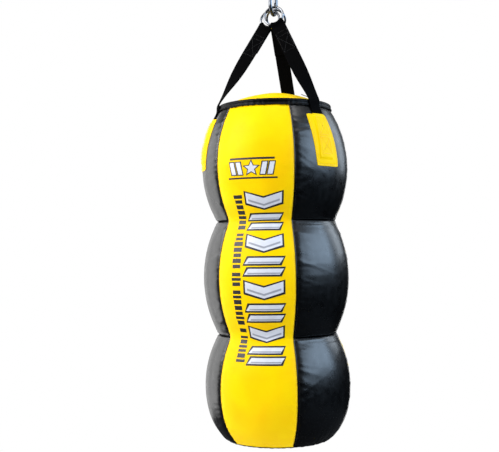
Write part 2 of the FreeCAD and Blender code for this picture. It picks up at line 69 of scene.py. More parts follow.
def widest(node, z):
    """The largest distance from the axis among the node's points at a level."""
    co = points_of(NODES[node].data)
    near = co[abs(co[:, 2] - z) < 0.5 * MM]
    return float(np.hypot(near[:, 0], near[:, 1]).max())


def spread(node):
    """The azimuths where the node starts and ends."""
    co = points_of(NODES[node].data)
    azimuths = np.arctan2(co[:, 0], -co[:, 1])
    centre = math.atan2(np.sin(azimuths).mean(), np.cos(azimuths).mean())
    turned = (azimuths - centre + math.pi) % (2 * math.pi) - math.pi
    return centre + turned.min(), centre + turned.max()


front_low, front_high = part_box("yellow_panel_front")
RIM_Z = front_high.z
BASE_Z = front_low.z
WAISTS = [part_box("black_panel_back_middle")[i].z for i in (1, 0)]
RIM_R = widest("black_panel_back_upper", RIM_Z)
WAIST_R = widest("black_panel_back_middle", WAISTS[0])
BASE_R = widest("black_panel_back_lower", BASE_Z)
LOBE_R = -front_low.y
DOME_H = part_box("top_cap_back")[1].z - RIM_Z
DOME_R = (RIM_R**2 + DOME_H**2) / (2 * DOME_H)
PIPING_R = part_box("rim_binding")[1].x - RIM_R
SKIN = 1.6 * MM
MEAN_R = 0.92 * LOBE_R
STRAP_T = 2.6 * MM
PAD_R = 120 * MM
HEEL_R = 150 * MM
HEEL_Z = RIM_Z - 797 * MM
LOW_WIDEST = WAISTS[1] - 0.46 * (WAISTS[0] - WAISTS[1])


def outline():
    """The shell's outline as dense (radius, level) rows, from the rim to the base."""
    rows = []
    for z_top, r_top, z_low in ((RIM_Z, RIM_R, WAISTS[0]), (WAISTS[0], WAIST_R, WAISTS[1])):
        low, high = z_low, z_top
        for _ in range(50):
            centre = (low + high) / 2
            over = arc_radius(z_top - centre, LOBE_R - r_top)
            under = arc_radius(z_low - centre, LOBE_R - WAIST_R)
            low, high = (centre, high) if over > under else (low, centre)
        rows += [(on_side(z, centre, over), z) for z in np.linspace(z_top, z_low, 80, endpoint=False)]
    radius = arc_radius(WAISTS[1] - LOW_WIDEST, LOBE_R - WAIST_R)
    levels = np.linspace(WAISTS[1], HEEL_Z, 60, endpoint=False)
    rows += [(on_side(z, LOW_WIDEST, radius), z) for z in levels]
    lean = math.asin((LOW_WIDEST - HEEL_Z) / radius)
    centre_r = on_side(HEEL_Z, LOW_WIDEST, radius) - HEEL_R * math.cos(lean)
    centre_z = HEEL_Z + HEEL_R * math.sin(lean)
    for angle in np.linspace(lean, math.acos((BASE_R - centre_r) / HEEL_R), 40):
        rows.append((centre_r + HEEL_R * math.cos(angle), centre_z - HEEL_R * math.sin(angle)))
    return np.array(rows)


def arc_radius(rise, depth):
    return (rise**2 + depth**2) / (2 * depth)


def on_side(z, widest_z, radius):
    return LOBE_R - radius + math.sqrt(radius**2 - (z - widest_z) ** 2)


def length_along(path):
    return np.concatenate([[0], np.cumsum(np.linalg.norm(np.diff(path, axis=0), axis=1))])


def bell(gap, width):
    return np.exp(-((gap / width) ** 2))


def softened(rows, width):
    """The outline's radii and levels with the waists rounded by a blur of that width, the ends kept."""
    run = length_along(rows)
    even = np.linspace(0, run[-1], 1000)
    pad = 120
    weight = np.exp(-0.5 * (np.arange(-pad, pad + 1) * (even[1] - even[0]) / width) ** 2)
    weight /= weight.sum()
    smooth = []
    for column in rows.T:
        value = np.interp(even, run, column)
        before, after = 2 * value[0] - value[pad:0:-1], 2 * value[-1] - value[-2 : -pad - 2 : -1]
        smooth.append(np.convolve(np.concatenate([before, value, after]), weight, "valid"))
    return smooth


# ------ materials


class Nodes:
    """A short way to write a node tree: each call adds a node and returns its output."""

    def __init__(self, name):
        self.material = bpy.data.materials.new(name)
        self.material.use_nodes = True
        self.tree = self.material.node_tree
        self.bsdf = self.tree.nodes["Principled BSDF"]
        self.place = self.add("TexCoord").outputs["Object"]

    def add(self, kind, **settings):
        made = self.tree.nodes.new("ShaderNode" + kind)
        for key, value in settings.items():
            setattr(made, key, value)
        return made

    def wire(self, made, inputs):
        for key, value in inputs.items():
            if hasattr(value, "links"):
                self.tree.links.new(value, made.inputs[key])
            else:
                made.inputs[key].default_value = value
        return made.outputs[0]

    def noise(self, scale, detail):
        return self.wire(self.add("TexNoise"), {"Vector": self.place, "Scale": scale, "Detail": detail})

    def cells(self, scale):
        made = self.add("TexVoronoi", feature="SMOOTH_F1")
        return self.wire(made, {"Vector": self.place, "Scale": scale})

    def math(self, operation, first, second=0.0):
        return self.wire(self.add("Math", operation=operation), {0: first, 1: second})

    def ramp(self, value, low, high, out_low, out_high):
        ends = {"From Min": low, "From Max": high, "To Min": out_low, "To Max": out_high}
        return self.wire(self.add("MapRange"), {"Value": value, **ends})

    def mix(self, share, first, second):
        made = self.add("Mix", data_type="RGBA")
        self.wire(made, {0: share, 6: first, 7: second})
        return made.outputs[2]

    def bump(self, height, depth, strength=1.0, under=None):
        inputs = {"Height": height, "Distance": depth, "Strength": strength}
        if under is not None:
            inputs["Normal"] = under
        return self.wire(self.add("Bump"), inputs)

    def finish(self, **inputs):
        self.wire(self.bsdf, {key.replace("_", " "): value for key, value in inputs.items()})
        return self.material


def scaled(colour, share):
    return [c * share for c in colour[:3]] + [1]


def vinyl(name, colour, shade, rough, coat, gloss):
    """Coated fabric: a fine pebbled grain, faint smears in the gloss, and slightly uneven colour."""
    n = Nodes(name)
    broad = n.noise(14, 4)
    smear = n.noise(55, 5)
    grain = n.cells(1500)
    creases = n.noise(260, 2)
    tint = n.mix(n.ramp(broad, 0.3, 0.7, 0, 1), shade, colour)
    roughness = n.ramp(smear, 0.3, 0.75, rough - 0.05, rough + 0.08)
    normal = n.bump(creases, 0.25 * MM, 0.35)
    normal = n.bump(grain, 0.12 * MM, 0.25, normal)
    n.finish(Base_Color=tint, Roughness=roughness, Normal=normal)
    return n.finish(Coat_Weight=coat, Coat_Roughness=0.27, Specular_IOR_Level=gloss)


def steel(name, colour, rough, brushed=0.0):
    """Plated steel: near mirror, with fine wear scratches and a few dull smudges."""
    n = Nodes(name)
    smudge = n.noise(120, 4)
    fine = n.noise(900, 2)
    tone = n.mix(n.ramp(smudge, 0.35, 0.7, 0, 1), colour, scaled(colour, 0.82))
    roughness = n.ramp(smudge, 0.3, 0.8, rough, rough + 0.12)
    normal = n.bump(fine, 0.03 * MM, 0.3 + brushed)
    return n.finish(Base_Color=tone, Metallic=1.0, Roughness=roughness, Normal=normal)


def woven(name, colour, pitch, sheen=0.3):
    """Plain woven cloth: raised cells at the yarn pitch, with uneven dye."""
    n = Nodes(name)
    yarn = n.cells(1 / pitch)
    fuzz = n.noise(1400, 3)
    dye = n.noise(40, 3)
    tone = n.mix(n.ramp(dye, 0.3, 0.7, 0, 1), colour, scaled(colour, 1.5))
    normal = n.bump(fuzz, 0.1 * MM, 0.4, n.bump(yarn, 0.3 * MM, 0.6))
    return n.finish(Base_Color=tone, Roughness=0.8, Normal=normal, Sheen_Weight=sheen)


def moulded(name, colour, rough):
    n = Nodes(name)
    texture = n.noise(1800, 3)
    tone = n.mix(n.noise(60, 2), colour, scaled(colour, 1.3))
    roughness = n.ramp(texture, 0.3, 0.7, rough, rough + 0.1)
    return n.finish(Base_Color=tone, Roughness=roughness, Normal=n.bump(texture, 0.05 * MM))


def webbing(name):
    """Woven nylon strap: a herringbone of yarns read from the ribbon's own two coordinates, in metres."""
    n = Nodes(name)
    uv = n.add("UVMap", uv_map="ribbon").outputs[0]
    split = n.add("SeparateXYZ")
    n.wire(split, {0: uv})
    across, along = split.outputs[:2]
    sawtooth = n.math("FRACT", n.math("MULTIPLY", across, 1 / (9.5 * MM)))
    zigzag = n.math("ABSOLUTE", n.math("SUBTRACT", sawtooth, 0.5))
    slanted = n.math("ADD", n.math("MULTIPLY", along, 1 / (2.4 * MM)), n.math("MULTIPLY", zigzag, 5.0))
    yarn = n.math("SINE", n.math("MULTIPLY", slanted, 2 * math.pi))
    rib = n.math("SINE", n.math("MULTIPLY", across, 2 * math.pi / (1.1 * MM)))
    weave = n.math("ADD", n.math("MULTIPLY", yarn, 0.6), n.math("MULTIPLY", rib, 0.4))
    fuzz = n.noise(1500, 3)
    normal = n.bump(fuzz, 0.12 * MM, 0.4, n.bump(weave, 0.22 * MM, 0.7))
    tone = n.mix(n.ramp(weave, -1, 1, 0, 1), (0.0006, 0.0006, 0.0007, 1), (0.002, 0.002, 0.0023, 1))
    return n.finish(Base_Color=tone, Roughness=0.85, Normal=normal, Specular_IOR_Level=0.02)


YELLOW = vinyl("yellow_vinyl", (0.86, 0.58, 0.0002, 1), (0.85, 0.50, 0.0002, 1), 0.42, 0.0, 0.05)
BLACK = vinyl("black_vinyl", (0.0006, 0.0007, 0.001, 1), (0.0004, 0.0005, 0.0007, 1), 0.3, 0.3, 0.5)
BINDING = vinyl("black_binding", (0.0008, 0.0008, 0.001, 1), (0.0005, 0.0005, 0.0007, 1), 0.42, 0.0, 0.1)
CHROME = steel("polished_steel", (0.22, 0.23, 0.25, 1), 0.2)
ZINC = steel("zinc_steel", (0.2, 0.21, 0.23, 1), 0.28, 0.2)
WEBBING = webbing("black_webbing")
BLACK_THREAD = woven("black_thread", (0.004, 0.004, 0.0045, 1), 0.5 * MM, sheen=0.05)
YELLOW_THREAD = woven("yellow_thread", (0.75, 0.50, 0.01, 1), 0.5 * MM)
PRINT_BLACK = moulded("print_black", (0.012, 0.012, 0.013, 1), 0.45)
PRINT_SILVER = moulded("print_silver", (0.50, 0.51, 0.56, 1), 0.38)
PRINT_GREY = moulded("print_grey", (0.24, 0.25, 0.29, 1), 0.38)


def finish_cad_nodes():
    """Gives each carried-over CAD node its procedural material."""
    finishes = {
        "foam": moulded("foam", (0.30, 0.30, 0.32, 1), 0.9),
        "shredded_textile": woven("shredded_textile", (0.33, 0.31, 0.28, 1), 3 * MM),
        "liner_canvas": woven("liner_canvas", (0.60, 0.55, 0.46, 1), 0.9 * MM),
        "zip_tape": woven("zip_tape", (0.012, 0.012, 0.013, 1), 0.6 * MM),
        "zip_plastic": moulded("zip_plastic", (0.016, 0.016, 0.018, 1), 0.35),
        "zip_metal": steel("zip_metal", (0.72, 0.71, 0.69, 1), 0.15),
        "polished_steel": CHROME,
        "zinc_steel": ZINC,
        "black_webbing": WEBBING,
        "yellow_vinyl": YELLOW,
        "black_vinyl": BLACK,
    }
    for part in frame["record"]["subparts"]:
        mesh, slot = NODES[part["node"]].data, part["material_slot"]
        mesh.materials.clear()
        mesh.materials.append(finishes[slot])
        if slot in ("polished_steel", "zinc_steel"):
            mesh.shade_smooth()
            mesh.set_sharp_from_angle(angle=0.7)
    return finishes


# ------ mesh helpers


def unit(vector):
    return vector / np.linalg.norm(vector, axis=-1, keepdims=True)


def full_turn(count):
    return np.linspace(0, 2 * math.pi, count, endpoint=False)


def linked(name, data):
    """A new object in the scene."""
    made = bpy.data.objects.new(name, data)
    bpy.context.scene.collection.objects.link(made)
    return made


def make_piece(name, vertices, faces, material, body="bag"):
    mesh = bpy.data.meshes.new(name)
    mesh.from_pydata([tuple(v) for v in vertices], [], faces)
    mesh.materials.append(material)
    mesh.shade_smooth()
    mesh.update()
    piece = linked(name, mesh)
    if body:
        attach(piece, body)
    return piece


def stand_in(piece, slot, *nodes, fill=None):
    """Hides the CAD nodes, so that the piece shows in their place; the slot is not used, and the fill, how
    full the padding is, is not used either.
    """
    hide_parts(*nodes)


def grid_faces(rows, columns, close_rows=False, close_columns=False, flip=False):
    """Quads over rows of points, facing outwards where rows go down and columns go to the right."""
    faces = []
    for i in range(rows if close_rows else rows - 1):
        for j in range(columns if close_columns else columns - 1):
            a, b = i * columns + j, i * columns + (j + 1) % columns
            c = ((i + 1) % rows) * columns
            quad = (a, c + j, c + (j + 1) % columns, b)
            faces.append(quad[::-1] if flip else quad)
    return faces


def grid_piece(name, grid, material, body="bag", **closing):
    """A piece from a grid of points, closed along its rows or columns where that is asked for."""
    return make_piece(name, grid.reshape(-1, 3), grid_faces(*grid.shape[:2], **closing), material, body)


def skin_piece(name, grid, material, flip=False):
    """A piece from a grid of points on its outside, with its thickness inwards."""
    piece = grid_piece(name, grid, material, flip=flip)
    wall = piece.modifiers.new("wall", "SOLIDIFY")
    wall.thickness, wall.offset = SKIN, -1.0
    return piece


def tube(name, path, radius, material, sides=8, closed=False):
    """A round tube along a path of points, with flat ends unless it is closed."""
    step = np.roll(path, -1, axis=0) - np.roll(path, 1, axis=0) if closed else np.gradient(path, axis=0)
    tangent = unit(step)
    up = np.tile([0.0, 0.0, 1.0], (len(path), 1))
    up[abs(tangent[:, 2]) > 0.9] = [0.0, 1.0, 0.0]
    side = unit(np.cross(tangent, up))
    over = np.cross(side, tangent)
    angle = full_turn(sides)
    ring = side[:, None] * np.cos(angle)[None, :, None] + over[:, None] * np.sin(angle)[None, :, None]
    points = path[:, None] + ring * np.reshape(radius, (-1, 1, 1))
    faces = grid_faces(len(path), sides, close_rows=closed, close_columns=True)
    if not closed:
        last = (len(path) - 1) * sides
        faces += [tuple(range(sides))[::-1], tuple(range(last, last + sides))]
    return make_piece(name, points.reshape(-1, 3), faces, material)


def stitches(name, lines, material, length=3.4 * MM, pitch=5.2 * MM, width=0.45 * MM):
    """Thread along lines of (points, normals): each stitch is a short low arch that dips in at both ends."""
    vertices, faces = [], []
    for path, normals in lines:
        run = length_along(path)
        for k in range(int(run[-1] / pitch)):
            start = (k + 0.5) * pitch - length / 2
            along = np.linspace(start, start + length, 4)
            centre = np.stack([np.interp(along, run, column) for column in path.T], 1)
            normal = np.stack([np.interp(along, run, column) for column in normals.T], 1)
            ahead = centre[-1] - centre[0]
            side = np.cross(ahead, normal[0])
            side /= np.linalg.norm(side) or 1
            lift = np.array([-0.25, 0.55, 0.55, -0.25])[:, None] * width
            first = len(vertices)
            for point, up in zip(centre + normal * lift, normal):
                for turn in full_turn(4):
                    vertices.append(point + (side * math.cos(turn) + up * math.sin(turn)) * width)
            for i in range(3):
                for j in range(4):
                    a, b = first + 4 * i + j, first + 4 * i + (j + 1) % 4
                    faces.append((a, b, b + 4, a + 4))
            faces += [(first + 3, first + 2, first + 1, first), tuple(first + 12 + j for j in range(4))]
    return make_piece(name, vertices, faces, material)


# ------ the stuffed shell

PANELS = (
    ("yellow_panel_front", YELLOW),
    ("black_panel_right", BLACK),
    ("yellow_panel_right", YELLOW),
    ("black_panel_back", BLACK),
    ("yellow_panel_left", YELLOW),
    ("black_panel_left", BLACK),
)
TIERS = ("upper", "middle", "lower")
OUTLINE = outline()
END = length_along(OUTLINE)[-1]


def run_at(z):
    """The distance down the outline to a level."""
    return np.interp(-np.asarray(z), -OUTLINE[:, 1], length_along(OUTLINE))


WAIST_RUNS = [float(run_at(z)) for z in WAISTS]


def seam_azimuths():
    """Where each panel starts, going round from the front panel's left seam, and that seam again."""
    starts = []
    for name, _ in PANELS:
        start = spread(name if name in NODES else name + "_upper")[0]
        while starts and start < starts[-1]:
            start += 2 * math.pi
        starts.append(start)
    return starts + [starts[0] + 2 * math.pi]


SEAMS = seam_azimuths()


def doubled(grid, axis):
    """The grid with a smooth point added between each pair along an axis."""
    a = np.moveaxis(grid, axis, 0)
    before = np.concatenate([2 * a[:1] - a[1:2], a[:-2]])
    after = np.concatenate([a[2:], 2 * a[-1:] - a[-2:-1]])
    between = (9 * (a[:-1] + a[1:]) - before - after) / 16
    made = np.empty((2 * len(a) - 1, *a.shape[1:]))
    made[::2], made[1::2] = a, between
    return np.moveaxis(made, 0, axis)


def seam_gap(azimuth):
    """Distance along the surface from each azimuth to the nearest seam."""
    return MEAN_R * np.min([abs(azimuth - s) for s in SEAMS], axis=0)


def panel_of(azimuth):
    return np.clip(np.searchsorted(SEAMS, azimuth, "right") - 1, 0, len(PANELS) - 1)


def sharpness(azimuth):
    """How sharply the waists are drawn in: 0 on the front panel, 1 on the others, smooth at the seams."""
    edge = 0.5 * np.exp(-seam_gap(azimuth) / (8 * MM))
    return np.where(panel_of(azimuth) == 0, edge, 1 - edge)


def cut_shape(azimuths, runs):
    """The shell before it is filled: soft waists in front, sharp ones elsewhere, a groove at each seam."""
    sharp = sharpness(azimuths)[None, :]
    even = np.linspace(0, END, 1000)
    rows = []
    for width in (16 * MM, 6 * MM):
        rows.append([np.interp(runs, even, line)[:, None] for line in softened(OUTLINE, width)])
    radius, level = (soft * (1 - sharp) + hard * sharp for soft, hard in zip(*rows))
    ends = np.clip(np.minimum(runs, END - runs) / (25 * MM), 0, 1)[:, None]
    radius = radius - ends * (0.5 * MM + 2.5 * MM * bell(seam_gap(azimuths)[None, :], 6 * MM))
    for waist in WAIST_RUNS:
        radius = radius - 1.5 * MM * sharp * bell(runs[:, None] - waist, 9 * MM)
    return np.stack([radius * np.sin(azimuths), -radius * np.cos(azimuths), level + 0 * radius], 2)


def filled(grid, pins, cap):
    """The shell blown out by its stuffing: cloth with a little spare length, held where it is sewn."""
    bag = grid_piece("filling", grid, BLACK, None, close_columns=True)
    group = bag.vertex_groups.new(name="sewn")
    for index, weight in enumerate(pins.ravel()):
        if weight > 0:
            group.add([index], float(weight), "REPLACE")
    cloth = bag.modifiers.new("cloth", "CLOTH").settings
    cloth.quality = 6
    cloth.mass = 0.4
    cloth.tension_stiffness = cloth.compression_stiffness = 20
    cloth.shear_stiffness = 8
    cloth.bending_stiffness = 3
    cloth.use_pressure = True
    cloth.uniform_pressure_force = 4
    cloth.effector_weights.gravity = 0
    cloth.vertex_group_mass = "sewn"
    cloth.shrink_min = -0.008
    scene = bpy.context.scene
    bag.modifiers["cloth"].point_cache.frame_end = 20
    for step in range(1, 21):
        scene.frame_set(step)
    shaped = points_of(bag.evaluated_get(bpy.context.evaluated_depsgraph_get()).data)
    scene.frame_set(1)
    bpy.data.objects.remove(bag)
    moved = calmed(shaped.reshape(grid.shape) - grid, 7) * (1 - pins[:, :, None])
    far = np.linalg.norm(moved, axis=2, keepdims=True)
    return grid + moved * np.tanh(far / cap) * cap / np.maximum(far, 1e-9)


def calmed(field, passes):
    """A field on the shell's grid with its short waves smoothed away; the grid closes on itself sideways."""
    for _ in range(passes):
        field = (np.roll(field, 1, 1) + 2 * field + np.roll(field, -1, 1)) / 4
        ends = np.concatenate([field[:1], field, field[-1:]])
        field = (ends[:-2] + 2 * field + ends[2:]) / 4
    return field


def puckers(along, away, seed, spacing, reach, height, slant):
    """Small folds that start at a seam and die away from it."""
    rng = random.Random(seed)
    field = np.zeros(np.broadcast(along, away).shape)
    place = rng.uniform(0, spacing)
    while place < END:
        tilt = rng.gauss(slant, 0.3)
        width = spacing * rng.uniform(0.2, 0.36)
        length = reach * rng.uniform(0.4, 1.5)
        tall = height * rng.uniform(0.3, 1.2)
        field += tall * np.exp(-(((along - place - tilt * away) / width) ** 2) - away / length)
        place += spacing * rng.uniform(0.65, 1.5)
    return field * (1 - bell(away, 2.5 * MM))


def creases(azimuth, runs):
    """Heights of the fine folds: puckers at the seams, ridges at the black waists, gathers at the hem."""
    height = np.zeros((len(runs), len(azimuth)))
    along = runs[:, None]
    for index, (_, material) in enumerate(PANELS):
        inside = np.flatnonzero((azimuth >= SEAMS[index]) & (azimuth <= SEAMS[index + 1]))
        black = material is BLACK
        for side, seam in ((1, SEAMS[index]), (-1, SEAMS[index + 1])):
            away = MEAN_R * side * (azimuth[inside] - seam)[None, :]
            seed = 10 * index + side
            if black:
                field = puckers(along, away, seed, 12 * MM, 24 * MM, 1.4 * MM, 0.12)
                field += puckers(along, away, seed + 100, 30 * MM, 44 * MM, 0.5 * MM, 0.3)
            else:
                field = puckers(along, away, seed, 11 * MM, 18 * MM, 1.4 * MM, 0.1)
            height[:, inside] += field
        if black:
            height[:, inside] += waist_ridges(along, azimuth[inside][None, :], 300 + index)
    rng = random.Random(71)
    hem = np.zeros(len(azimuth))
    for _ in range(70):
        centre = rng.uniform(SEAMS[0], SEAMS[-1])
        hem += rng.uniform(-2.2, 2.2) * MM * bell(azimuth - centre, rng.uniform(0.02, 0.06))
    share = 0.35 + 0.65 * np.array([material is BLACK for _, material in PANELS])[panel_of(azimuth)]
    height += hem * share * np.exp(-((END - along) / (26 * MM))) * np.clip((END - along) / (6 * MM), 0.2, 1)
    return height


def waist_ridges(along, azimuth, seed):
    """Level folds above and below each waist of a black panel."""
    rng = random.Random(seed)
    field = 0
    middle, half = azimuth.mean(), np.ptp(azimuth) / 2
    for waist in WAIST_RUNS:
        for offset, tall in ((-7, 2.0), (7, 2.2), (0, -2.0), (-16, 1.0), (17, 1.2)):
            centre = middle + half * rng.uniform(-0.3, 0.3) * (abs(offset) > 8)
            wide = half * rng.uniform(0.9, 1.3) * (0.6 if abs(offset) > 8 else 1)
            bow = rng.uniform(-4, 4) * MM * (offset != 0)
            wave = bow * ((azimuth - middle) / half) ** 2
            wave = wave + 0.8 * MM * np.sin(7 * azimuth + rng.uniform(0, 6))
            fold = bell(along - waist - offset * MM - wave, 3.4 * MM)
            field = field + tall * MM * fold * bell(azimuth - centre, wide)
    return field


def stepped(knots, counts):
    """So many even steps from each knot to the next, the last knot left out."""
    spans = zip(knots, knots[1:], counts)
    return np.concatenate([np.linspace(a, b, n, endpoint=False) for a, b, n in spans])


class Shell:
    """The finished outer skin: points on a grid of runs and azimuths, and their normals."""

    def __init__(self):
        rows = (40, 40, 42)
        runs = np.append(stepped([0, *WAIST_RUNS, END], rows), END)
        counts = [round((b - a) * 26) for a, b in zip(SEAMS, SEAMS[1:])]
        azimuths = stepped(SEAMS, counts)
        grid = cut_shape(azimuths, runs)
        pins = np.zeros(grid.shape[:2])
        pins[[0, 1, -2, -1]] = 1
        pins[:, np.isin(azimuths, SEAMS)] = 1
        sharp = sharpness(azimuths) > 0.6
        for row in (rows[0], rows[0] + rows[1]):
            pins[row, sharp] = 0.9
        grid = filled(grid, pins, 6 * MM)
        grid = np.concatenate([grid, grid[:, :1]], axis=1)
        azimuths = np.append(azimuths, SEAMS[-1])
        self.runs, self.azimuths = doubled(runs, 0), doubled(azimuths, 0)
        self.seams = np.cumsum([0, *counts]) * 2
        self.tiers = np.cumsum([0, *rows]) * 2
        self.grid = doubled(doubled(grid, 0), 1)
        self.grid += self.normals() * creases(self.azimuths, self.runs)[:, :, None]
        self.normal = self.normals()

    def normals(self):
        down = np.gradient(self.grid, axis=0)
        wrapped = np.concatenate([self.grid[:, -2:-1], self.grid, self.grid[:, 1:2]], axis=1)
        across = np.gradient(wrapped, axis=1)[:, 1:-1]
        return unit(np.cross(across, -down))

    def at(self, azimuth, run, lift=0.0):
        """Points and normals on the skin, for arrays of azimuth and run."""
        azimuth, run = np.broadcast_arrays(azimuth, run)
        turn = (azimuth - SEAMS[0]) % (2 * math.pi) + SEAMS[0]
        column = np.interp(turn, self.azimuths, np.arange(len(self.azimuths)))
        row = np.interp(run, self.runs, np.arange(len(self.runs)))
        i = np.minimum(row.astype(int), len(self.runs) - 2)
        j = np.minimum(column.astype(int), len(self.azimuths) - 2)
        u, v = (row - i)[..., None], (column - j)[..., None]

        def read(values):
            top = values[i, j] * (1 - v) + values[i, j + 1] * v
            low = values[i + 1, j] * (1 - v) + values[i + 1, j + 1] * v
            return top * (1 - u) + low * u

        normal = read(self.normal)
        return read(self.grid) + normal * np.asarray(lift)[..., None], normal

    def build(self):
        for index, (name, material) in enumerate(PANELS):
            slot = "black_vinyl" if material is BLACK else "yellow_vinyl"
            columns = slice(self.seams[index], self.seams[index + 1] + 1)
            if name in NODES:
                stand_in(skin_piece("skin_" + name, self.grid[:, columns], material), slot, name)
                continue
            for tier, top, low in zip(TIERS, self.tiers, self.tiers[1:]):
                part = f"{name}_{tier}"
                stand_in(skin_piece("skin_" + part, self.grid[top : low + 1, columns], material), slot, part)


shell = Shell()
shell.build()


# ------ what is inside the skin


def inset(grid, depth):
    """The grid moved towards the bag's axis."""
    radius = np.hypot(grid[..., 0], grid[..., 1])[..., None]
    return grid * (1 - [1, 1, 0] * (depth / radius))


def wall(name, outer, inner, material):
    """A closed tube wall between two grids of the same size."""
    grid = np.concatenate([outer, inner[::-1]])
    return grid_piece(name, grid, material, close_rows=True, close_columns=True)


def closed(name, grid, material):
    """A solid from rows of rings, closed by a fan at each end."""
    rows, columns, _ = grid.shape
    ends = [grid[0].mean(0), grid[-1].mean(0)]
    faces = grid_faces(rows, columns, close_columns=True)
    first, last, base = rows * columns, rows * columns + 1, (rows - 1) * columns
    for j in range(columns):
        faces.append((first, j, (j + 1) % columns))
        faces.append((last, base + (j + 1) % columns, base + j))
    return make_piece(name, np.concatenate([grid.reshape(-1, 3), ends]), faces, material)


def lumps(grid, size, seed):
    """The grid pushed in and out by seeded waves, so that packed rags look uneven."""
    rng = random.Random(seed)
    height = 0
    for _ in range(14):
        way = np.array([rng.gauss(0, 1) for _ in range(3)]) / (24 * MM)
        height = height + np.sin(grid @ way + rng.uniform(0, 6.3)) / 14**0.5
    radius = np.hypot(grid[..., 0], grid[..., 1])[..., None]
    return grid * (1 + [1, 1, 0] * (size * height[..., None] / radius))


def build_inside(finishes):
    """Foam, liner and rags that follow the skin from inside, clear of every groove."""
    skin = shell.grid[:, :-1:3]
    whole = inset(skin, 27 * MM)
    liner = wall("liner_cloth", lumps(whole, 0.4 * MM, 5), inset(whole, 1.2 * MM), finishes["liner_canvas"])
    stand_in(liner, "liner_canvas", "canvas_liner")
    for tier, top, low in zip(TIERS, shell.tiers, shell.tiers[1:]):
        ring = skin[top + 1 : low : 2]
        foam = wall(f"foam_wall_{tier}", inset(ring, 6 * MM), inset(ring, 25 * MM), finishes["foam"])
        stand_in(foam, "foam", f"foam_{tier}", fill=0.9)
        packed = lumps(inset(ring, 33 * MM), 3 * MM, int(7 + top))
        rags = closed(f"rags_{tier}", packed, finishes["shredded_textile"])
        stand_in(rags, "shredded_textile", f"textile_fill_{tier}", fill=1.0)
    top_pad = pad_rings(RIM_Z + 1 * MM, 8 * MM, 22 * MM)
    base_pad = pad_rings(BASE_Z + 2 * MM, 13 * MM, 0.0)
    for name, rings in (("top_foam_pad", top_pad), ("base_foam_pad", base_pad)):
        stand_in(closed(f"{name}_soft", rings, finishes["foam"]), "foam", name, fill=0.7)


def revolved(angle, rows):
    """Rings of points round the axis from (radius, level) rows, whose values may change with the angle."""
    return np.array([np.stack([r * np.cos(angle), r * np.sin(angle), z + 0 * angle], 1) for r, z in rows])


def pad_rings(level, tall, crown):
    """Rings of a round pad with soft edges, from the middle of its top to the middle of its foot."""
    angle = full_turn(72)
    rows = []
    for share in np.linspace(0.05, 1, 12):
        rows.append((PAD_R * share, level + tall - 4 * MM * share**8 + crown * (1 - share**2)))
    for share in np.linspace(1, 0.05, 12):
        rows.append((PAD_R * share - 2 * MM * (share < 1), level + 3 * MM * share**8))
    dimple = 1.2 * MM * np.cos(6 * angle)
    return revolved(angle, [(r, z + dimple * r / PAD_R) for r, z in rows])


# ------ top, rim and base


def cap_surface(x, y):
    """The stuffed cover: gathers at the rim, a slack hollow along the zip, and a few soft folds."""
    radius, angle = np.hypot(x, y), np.arctan2(y, x)
    edge = np.exp(-((RIM_R - radius) / (16 * MM)))
    gather = np.sin(47 * angle + 2 * np.sin(5 * angle)) + 0.6 * np.sin(71 * angle + 1.3)
    folds = np.sin(x * 55 + 3 * np.sin(y * 31)) * np.sin(y * 47 + 1)
    dome = RIM_Z + DOME_H - DOME_R + np.sqrt(DOME_R**2 - radius**2)
    return dome + 1.1 * MM * gather * edge + 0.7 * MM * folds - 1.2 * MM * bell(y, 24 * MM)


def build_cap(side, sign):
    """Half of the top cover, from the zip's mouth to the rim."""
    reach = RIM_R - 3 * MM
    turn = np.linspace(-math.pi / 2, math.pi / 2, 161)
    x = reach * np.sin(turn)[None, :]
    mouth = 5.2 * MM * np.clip((0.117 - abs(x)) / 0.008, 0, 1) + 0.3 * MM
    share = np.linspace(0, 1, 64)[:, None]
    y = sign * (mouth + (np.sqrt(reach**2 - x**2) - mouth).clip(0) * share)
    grid = np.stack([x + 0 * y, y, cap_surface(x, y)], 2)
    grid[0, :, 2] -= 1.2 * MM
    cover = skin_piece(f"cover_{side}", grid, YELLOW, flip=sign > 0)
    stand_in(cover, "yellow_vinyl", f"top_cap_{side}", fill=0.7)
    lines = []
    for offset in (9 * MM, 13 * MM):
        run = np.linspace(-0.112, 0.112, 120)
        level = cap_surface(run, sign * offset)
        path = np.stack([run, 0 * run + sign * offset, level], 1)
        lines.append((path, np.tile([0.0, 0.0, 1.0], (len(run), 1))))
    stitches(f"zip_stitching_{side}", lines, YELLOW_THREAD)


